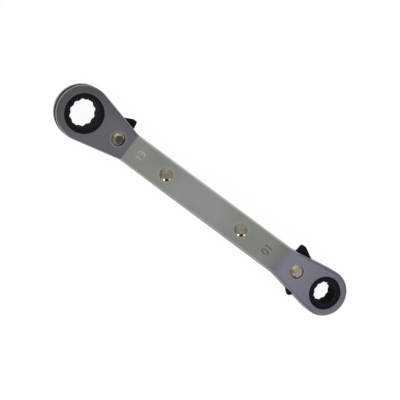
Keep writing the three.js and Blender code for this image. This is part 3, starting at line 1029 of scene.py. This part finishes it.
# The tones of the rolled edges are painted highlights and painted shades.
big_tip_edge_shade = colour(74, 76, 71)
head_edge_highlight = colour(176, 177, 185)
near_edge_highlight = colour(190, 192, 197)
near_edge_shade = colour(108, 110, 124)
far_edge_highlight = colour(212, 213, 204)
small_edge_shade = colour(88, 84, 104)


def in_figures(finish):
    """How far a point lies in the stamped figures, from 0 on the flat face to 1 at their bottom."""
    x = finish.part(finish.place, "X")
    y = finish.part(finish.place, "Y")
    depth = front_face.dot(handle_up) - finish.along(finish.place, handle_up)
    stamped = finish.ramp(depth, 0.05 * MM, 0.15 * MM) * finish.fade(depth, 0.4 * MM, 0.5 * MM)
    on_strip = finish.fade(abs(y), figure_half_width, 1.05 * figure_half_width)
    return stamped * on_strip * finish.fade(abs(x), bend_start, bend_start + MM)


def painted_edge_light(finish, flat, edge):
    """The weight and tone of the painted highlight and shade on the rolled edges, from how flat the surface lies.
    """
    x = finish.part(finish.place, "X")
    edge_tone = finish.blend(finish.ramp(x, -84 * MM, -66 * MM), big_tip_edge_shade, head_edge_highlight)
    near_tone = finish.blend(finish.ramp(x, -32 * MM, -12 * MM), near_edge_highlight, near_edge_shade)
    far_side = finish.ramp(finish.along(finish.normal, across), 0.0, 0.3)
    handle_edge = finish.blend(far_side, near_tone, far_edge_highlight)
    on_handle = finish.ramp(x, big_crease - 2 * MM, big_crease + 2 * MM) * finish.ramp(flat, 0.25, 0.65)
    edge_tone = finish.blend(on_handle, edge_tone, handle_edge)
    past_crease = finish.ramp(x, small_crease, small_crease + 12 * MM)
    edge_tone = finish.blend(past_crease, edge_tone, small_edge_shade)
    weight = 0.4 * edge + 0.35 * finish.fade(flat, 0.85, 0.999) * far_side * on_handle
    return weight, edge_tone


def scratches(finish):
    one = finish.ramp(finish.noise(0.4 * MM, stretch=40.0, turn=0.3), 0.64, 0.72)
    other = finish.ramp(finish.noise(0.5 * MM, stretch=30.0, turn=-0.5), 0.66, 0.74)
    return one + other


print(f"figures lie within {figure_half_width / MM:.1f} mm of the middle")

# %% [markdown]
# ## Satin nickel
# Now the finish is put together: a satin grey with a faint grain along the handle, clouds of slightly
# different grey under the painted reflection, shade and sheen along the wrench, a paler ring pressed round
# each rivet, the figures and scratches, and last the painted highlights and shade of the rolled edges. Edges
# and scratches are smoother than the faces.

# %% Nickel finish
ring_starts = 3.4 * MM
ring_ends = 4.6 * MM
pressed_ring = colour(166, 167, 159)
scratched = colour(186, 187, 188)


def satin_nickel():
    finish = Finish("satin_nickel", Metallic=0.85)
    clouds = finish.noise(14 * MM, detail=4.0)
    specks = finish.noise(1.6 * MM, detail=4.0)
    grain = finish.noise(0.5 * MM, stretch=25.0)
    scratch = scratches(finish)
    tone = along_wrench(finish, 0.6 * clouds + 0.25 * specks + 0.15 * grain)
    ring = finish.fade(finish.from_nearest(rivet_axes), ring_starts, ring_ends, full=0.6)
    tone = finish.blend(ring, tone, pressed_ring)
    # The big end's figures are paler, and the small end's darker, a painted shade in their recess.
    small_half = finish.ramp(finish.part(finish.place, "X"), -MM, MM)
    figures = finish.blend(small_half, pale_figures, recess_shaded_figures)
    tone = finish.blend(in_figures(finish) * 0.9, tone, figures)
    tone = finish.blend(scratch * 0.06, tone, scratched)
    flat = abs(finish.along(finish.normal, handle_up))
    flat = flat.math("MAXIMUM", flat, abs(finish.along(finish.normal, head_up)))
    edge = finish.fade(flat, 0.5, 0.99)
    edge_weight, edge_tone = painted_edge_light(finish, flat, edge)
    # The rolled edges take their painted highlight and shade here.
    finish.feed("Base Color", finish.blend(edge_weight, tone, edge_tone))
    finish.feed("Roughness", 0.34 + 0.1 * specks + 0.08 * grain - 0.08 * edge - 0.06 * scratch)
    finish.bump(0.6 * grain + 0.3 * specks - 0.3 * scratch, strength=0.15, depth=0.02 * MM)
    return finish


keep("plate_steel", satin_nickel())

# %% [markdown]
# ## Black oxide
# Gears and pawls are blackened steel: almost black, a little mottled and matt. The oxide is thinner on the
# edges that rub, between the flat faces and the upright walls, so there the steel shows through a little.
# The upright walls of the small head's ring are painted blacker still, a painted shade deep in the bore.
# The surface normal tells faces, edges and walls apart, so nothing has to be painted by hand.

# %% Black oxide finish
oxide_dark = colour(17, 15, 20)
oxide_light = colour(33, 31, 39)
bore_painted_shade = colour(2, 1, 3)
oxide_worn = colour(72, 71, 75)


def black_oxide():
    finish = Finish("black_oxide", Metallic=0.0, Specular_IOR_Level=0.04)
    mottle = finish.noise(2.2 * MM, detail=4.0)
    specks = finish.noise(0.4 * MM)
    lean = abs(finish.along(finish.normal, head_up))
    worn = finish.ramp(lean, 0.35, 0.7) * finish.fade(lean, 0.75, 0.97)
    # The upright walls of the small head's ring get a painted shade, deep in the bore.
    at_small_ring = finish.ramp(finish.part(finish.place, "X"), 60 * MM, 64 * MM)
    bore_shade = finish.fade(lean, 0.2, 0.5, full=0.9) * at_small_ring
    oxide = finish.blend(mottle, oxide_dark, oxide_light)
    oxide = finish.blend(bore_shade, oxide, bore_painted_shade)
    finish.feed("Base Color", finish.blend(worn * specks * 0.3, oxide, oxide_worn))
    finish.feed("Roughness", 0.65 + 0.2 * mottle)
    finish.bump(0.5 * mottle + 0.5 * specks, strength=0.12, depth=0.03 * MM)
    return finish


keep("black_oxide", black_oxide())

# %% [markdown]
# ## Rivet steel
# The rivets are bright steel with a yellowish tint from their zinc, and the riveting tool left faint rings.
# The flat tops of the two pivot rivets differ: oil has darkened the big one, and the small one is worn bare
# and looks a little pink. The flank of both pivots has painted shade on one side and a painted highlight on
# the other.
# The distance from a rivet's middle line tells its top from its flank.

# %% Rivet finish
tool_mark = 0.22 * MM
zinc_dark = colour(117, 113, 94)
zinc_light = colour(156, 152, 132)
stained_top = colour(68, 64, 68)
bare_top = colour(164, 148, 148)
pivot_painted_shade = colour(86, 82, 90)
pivot_painted_highlight = colour(194, 191, 170)
pivot_shaded_side = Vector((0.84, -0.54, 0.0))


def rivet_steel():
    finish = Finish("rivet_steel", Metallic=1.0)
    mottle = finish.noise(0.9 * MM, detail=4.0)
    rings = finish.from_nearest(rivet_axes) * (2 * pi / tool_mark)
    rings = 0.5 + 0.5 * rings.math("SINE", rings)
    tone = finish.blend(finish.ramp(mottle, 0.3, 0.7), zinc_dark, zinc_light)
    flat = finish.ramp(finish.along(finish.normal, head_up), 0.95, 0.985)
    # One side of each pivot's flank gets painted shade, and the other a painted highlight.
    facing = finish.along(finish.normal, pivot_shaded_side)
    flank_shade = 0.85 * finish.ramp(facing, 0.1, 0.6)
    painted_sheen = finish.fade(facing, -0.7, -0.2, full=0.7)
    for head, top in ((big, stained_top), (small, bare_top)):
        distance = finish.from_axis(head.pawl_bench)
        on_pivot = finish.fade(distance, 4 * MM, 4.2 * MM)
        tone = finish.blend(painted_sheen * on_pivot, tone, pivot_painted_highlight)
        tone = finish.blend(flank_shade * on_pivot, tone, pivot_painted_shade)
        on_top = finish.fade(distance, 2 * MM, 2.3 * MM, full=0.9)
        tone = finish.blend(flat * on_top, tone, top)
    finish.feed("Base Color", tone)
    finish.feed("Roughness", 0.06 + 0.1 * mottle + 0.05 * rings)
    finish.bump(0.7 * rings + 0.3 * mottle, strength=0.08, depth=0.02 * MM)
    return finish


keep("rivet_steel", rivet_steel())

# %% [markdown]
# ## Inner steels
# The core is plain mill steel with rolling marks along the bar. Balls, sleeves and springs are hardened and
# polished, so they differ only in shade and gloss. With these, every piece gets the finish of its slot.

# %% Inner finishes
mill_dark = colour(92, 93, 94)
mill_light = colour(124, 125, 126)
polished_dark = colour(172, 174, 178)
polished_light = colour(206, 208, 212)


def inner_steel(name, dark, light, roughness, stretch=1.0):
    finish = Finish(name, Metallic=1.0)
    mottle = finish.noise(1.2 * MM, stretch=stretch, detail=4.0)
    finish.feed("Base Color", finish.blend(mottle, dark, light))
    finish.feed("Roughness", roughness + 0.15 * mottle)
    finish.bump(mottle, strength=0.1, depth=0.02 * MM)
    return finish


keep("core_steel", inner_steel("mill_steel", mill_dark, mill_light, roughness=0.42, stretch=20.0))
keep("bright_steel", inner_steel("ball_steel", polished_dark, polished_light, roughness=0.18))
for piece, slot in dressed:
    piece.data.materials.clear()
    piece.data.materials.append(finishes[slot])
print("pieces with a finish:", len(dressed))

# %% [markdown]
# ## The table
# The wrench lies on a white table that runs out of the picture. For the camera and for reflections most of
# its light is a plain white glow, and the rest is lit by the room, so that it still takes a soft shadow.

# %% Table
table_size = 6.0
table_glow = 0.9
table_white = 1.03
table_colour = colour(248, 248, 248)


def white_table():
    bpy.ops.object.select_all(action="DESELECT")
    bpy.ops.mesh.primitive_plane_add(size=table_size)
    top = bpy.context.object
    top.name = "table"
    finish = Finish("white_table", Base_Color=table_colour, Roughness=0.9)
    path = finish.node("ShaderNodeLightPath", {}, {}, "Is Camera Ray")
    seen = path.math("MAXIMUM", path, path.output("Is Glossy Ray"))
    seen = seen.math("MAXIMUM", seen, path.output("Is Transmission Ray"))
    glow = finish.node("ShaderNodeEmission", {}, {"Color": (1, 1, 1, 1), "Strength": table_white})
    shaded = Wire(finish, finish.surface.outputs[0])
    mixed = finish.node("ShaderNodeMixShader", {}, {0: seen * table_glow, 1: shaded, 2: glow})
    output = finish.tree.nodes["Material Output"]
    finish.tree.links.new(mixed.socket, output.inputs["Surface"])
    top.data.materials.append(finish.material)


white_table()
print(f"table {table_size:.0f} m wide")

# %% [markdown]
# ## The room
# The room is white, but a little darker above, at its left and right walls and down at the horizon, and a
# dark card stands at the near side. Without these, polished domes such as the rivets would mirror nothing
# but white. The camera itself sees plain white.

# %% Room
zenith_light = 0.8
horizon_light = 0.5
side_wall_light = 0.55
near_side = Vector((0.6, -0.8, 0.0))
right_side = Vector((0.8, 0.6, 0.0))
card_height = radians(34)
card_inner = radians(13)
card_outer = radians(22)
card_light = 0.05


def room_light():
    world = bpy.data.worlds.new("room")
    bpy.context.scene.world = world
    world.use_nodes = True
    graph = Graph(world.node_tree)
    direction = graph.node("ShaderNodeTexCoord", {}, {}, "Generated")
    height = graph.part(direction, "Z")
    light = graph.ramp(height, 0.5, 1.0, 1.0, zenith_light)
    light = light * graph.ramp(height, 0.0, 0.2, horizon_light, 1.0)
    light = light * graph.ramp(abs(graph.along(direction, right_side)), 0.5, 0.95, 1.0, side_wall_light)
    card = near_side * cos(card_height) + Vector((0, 0, sin(card_height)))
    to_card = graph.along(direction, card)
    light = light * graph.ramp(to_card, cos(card_outer), cos(card_inner), 1.0, card_light)
    seen = graph.node("ShaderNodeLightPath", {}, {}, "Is Camera Ray")
    background = world.node_tree.nodes["Background"]
    background.inputs["Color"].default_value = (1, 1, 1, 1)
    strength = light * (1 - seen) + seen
    world.node_tree.links.new(strength.socket, background.inputs["Strength"])


room_light()
print(f"dark card {card_height / radians(1):.0f} degrees above the table")

# %% [markdown]
# ## Soft boxes
# Two small, slightly cool soft boxes stand low at the near side, left and right of the dark card. So each
# rivet shows a dark spot between two glints, and the rolled edge on that side a bright line.

# %% Soft boxes
box_height = radians(30)
box_turn = radians(34)
box_distance = 1.0
box_colour = (0.8, 0.88, 1.0)


def soft_box(name, turn, size, power):
    aside = Matrix.Rotation(turn, 3, "Z") @ near_side
    place = box_distance * (aside * cos(box_height) + Vector((0, 0, sin(box_height))))
    bpy.ops.object.light_add(type="AREA", location=place)
    light = bpy.context.object
    light.name = name
    light.data.size = size
    light.data.energy = power
    light.data.color = box_colour
    light.rotation_euler = (-place).to_track_quat("-Z", "Y").to_euler()
    print(f"{name}: {power:.1f} W from {size:.2f} m")


soft_box("left_box", -box_turn, size=0.24, power=1.6)
soft_box("right_box", box_turn, size=0.18, power=0.8)
